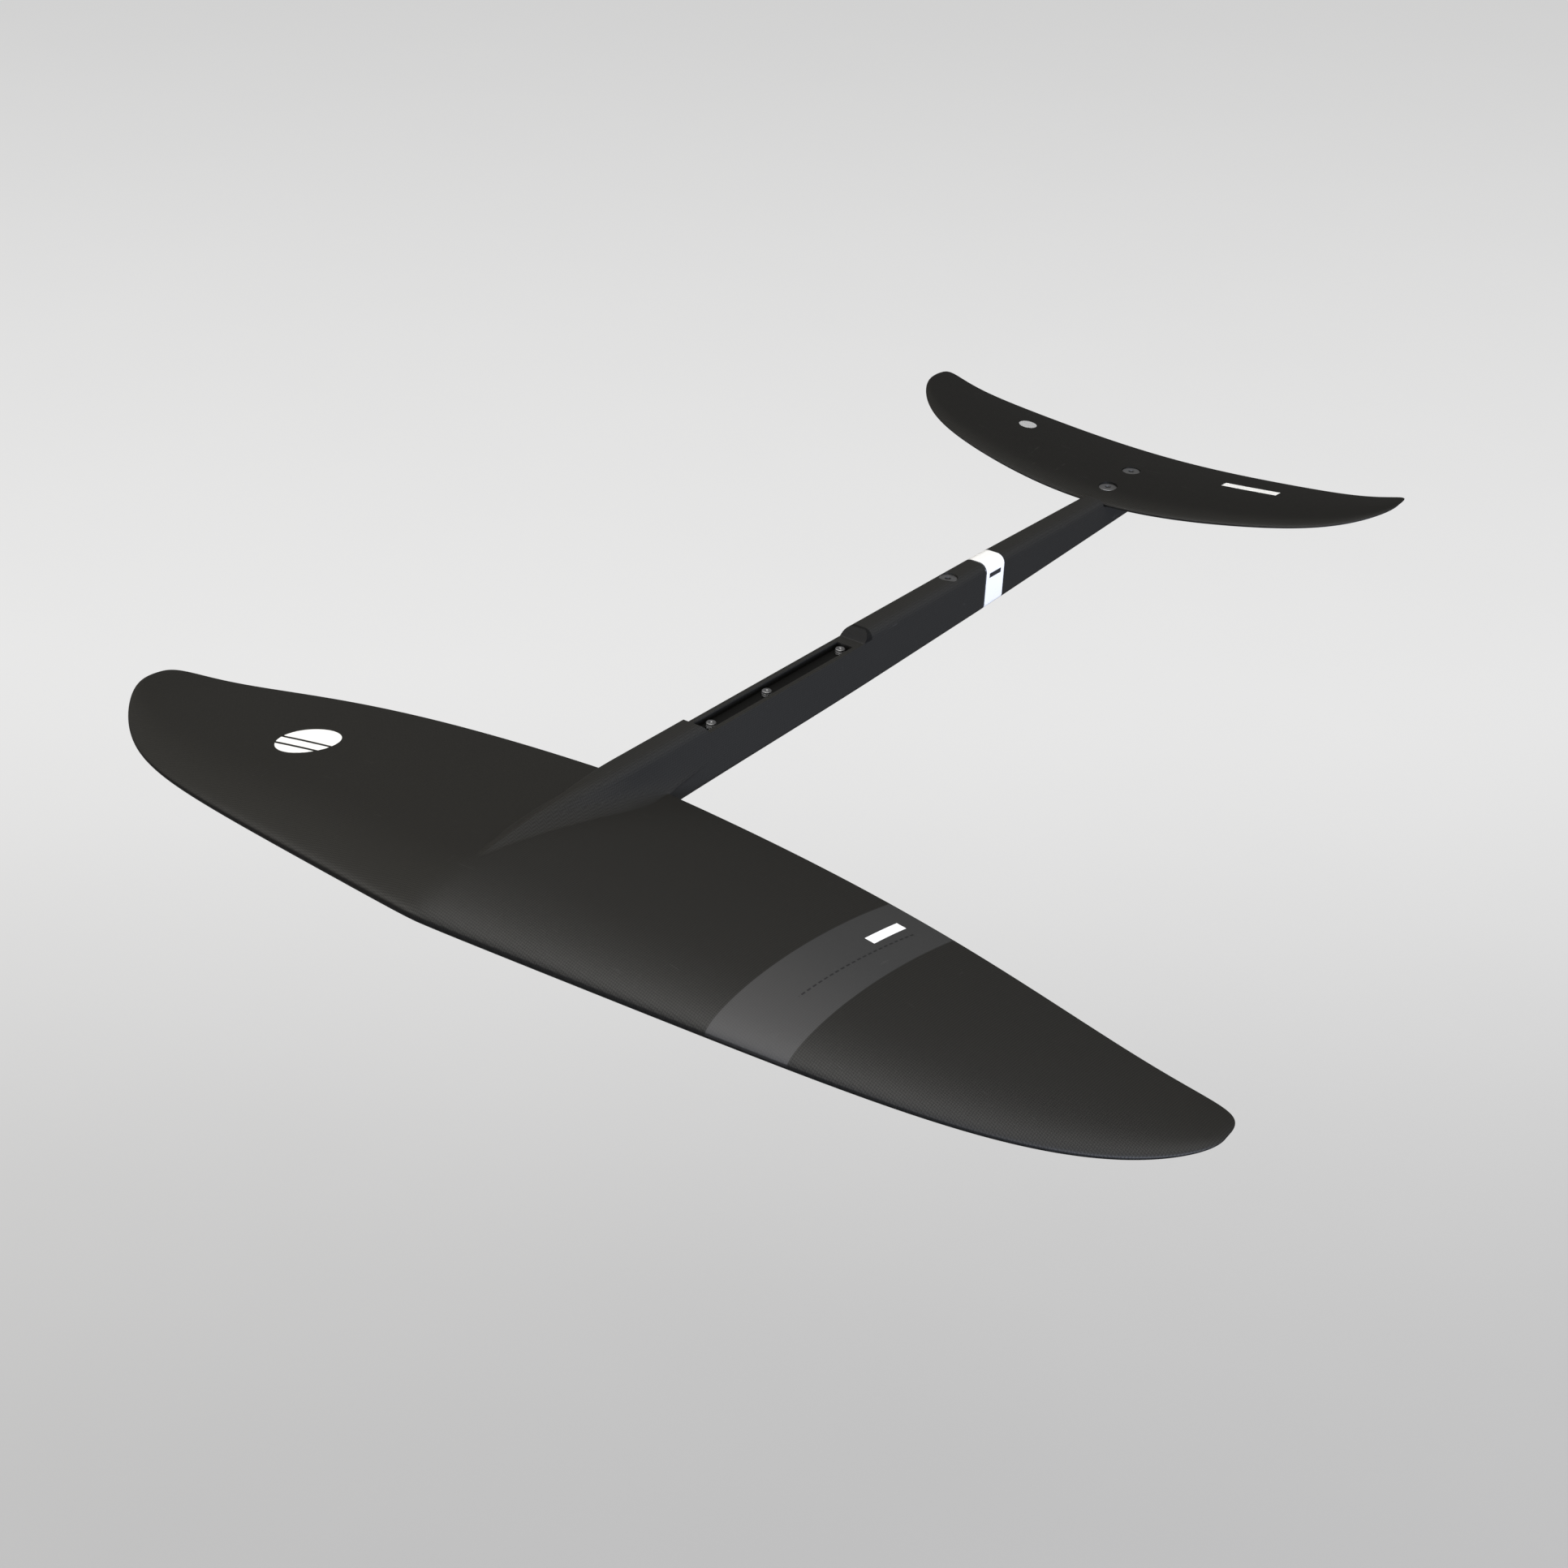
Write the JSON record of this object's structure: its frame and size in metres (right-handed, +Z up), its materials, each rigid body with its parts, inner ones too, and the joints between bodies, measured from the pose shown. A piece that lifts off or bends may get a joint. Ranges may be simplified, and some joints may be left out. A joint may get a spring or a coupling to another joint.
{
  "type": "hydrofoil front wing with stabilizer",
  "caption": "Hydrofoil wing set: wide drooped front wing moulded with its fuselage, screw-down mast seat on top and a bolt-on stabilizer at the tail.",
  "frame": {"origin": "middle of the mast seat, on the channel floor", "axes": "+X across the span, +Y aft along the fuselage, +Z up out of the mast seat"},
  "size_m": [0.7636, 0.7715, 0.0956],
  "materials": {
    "carbon": "satin woven carbon laminate",
    "carbon_spar": "unidirectional carbon laminate",
    "foam": "closed-cell structural foam",
    "screw_steel": "stainless, lightly brushed",
    "insert_brass": "turned",
    "band_white": "white wrap film"
  },
  "bodies": {
    "root": {"front_wing_upper_skin": "carbon", "front_wing_lower_skin": "carbon", "front_wing_spar": "carbon_spar", "front_wing_fore_core_left": "foam", "front_wing_fore_core_right": "foam", "front_wing_aft_core_left": "foam", "front_wing_aft_core_right": "foam", "front_fuselage": "carbon", "mast_screw_front": "screw_steel", "mast_screw_middle": "screw_steel", "mast_screw_rear": "screw_steel", "rear_fuselage": "carbon", "rear_fuselage_core": "foam", "fuselage_joint_screw": "screw_steel", "fuselage_joint_insert": "insert_brass", "fuselage_band": "band_white", "stabilizer_upper_skin": "carbon", "stabilizer_lower_skin": "carbon", "stabilizer_core_left": "foam", "stabilizer_core_right": "foam", "stabilizer_hardpoint": "carbon_spar", "stabilizer_screw_front": "screw_steel", "stabilizer_screw_rear": "screw_steel", "stabilizer_insert_front": "insert_brass", "stabilizer_insert_rear": "insert_brass"}
  },
  "joints": []
}
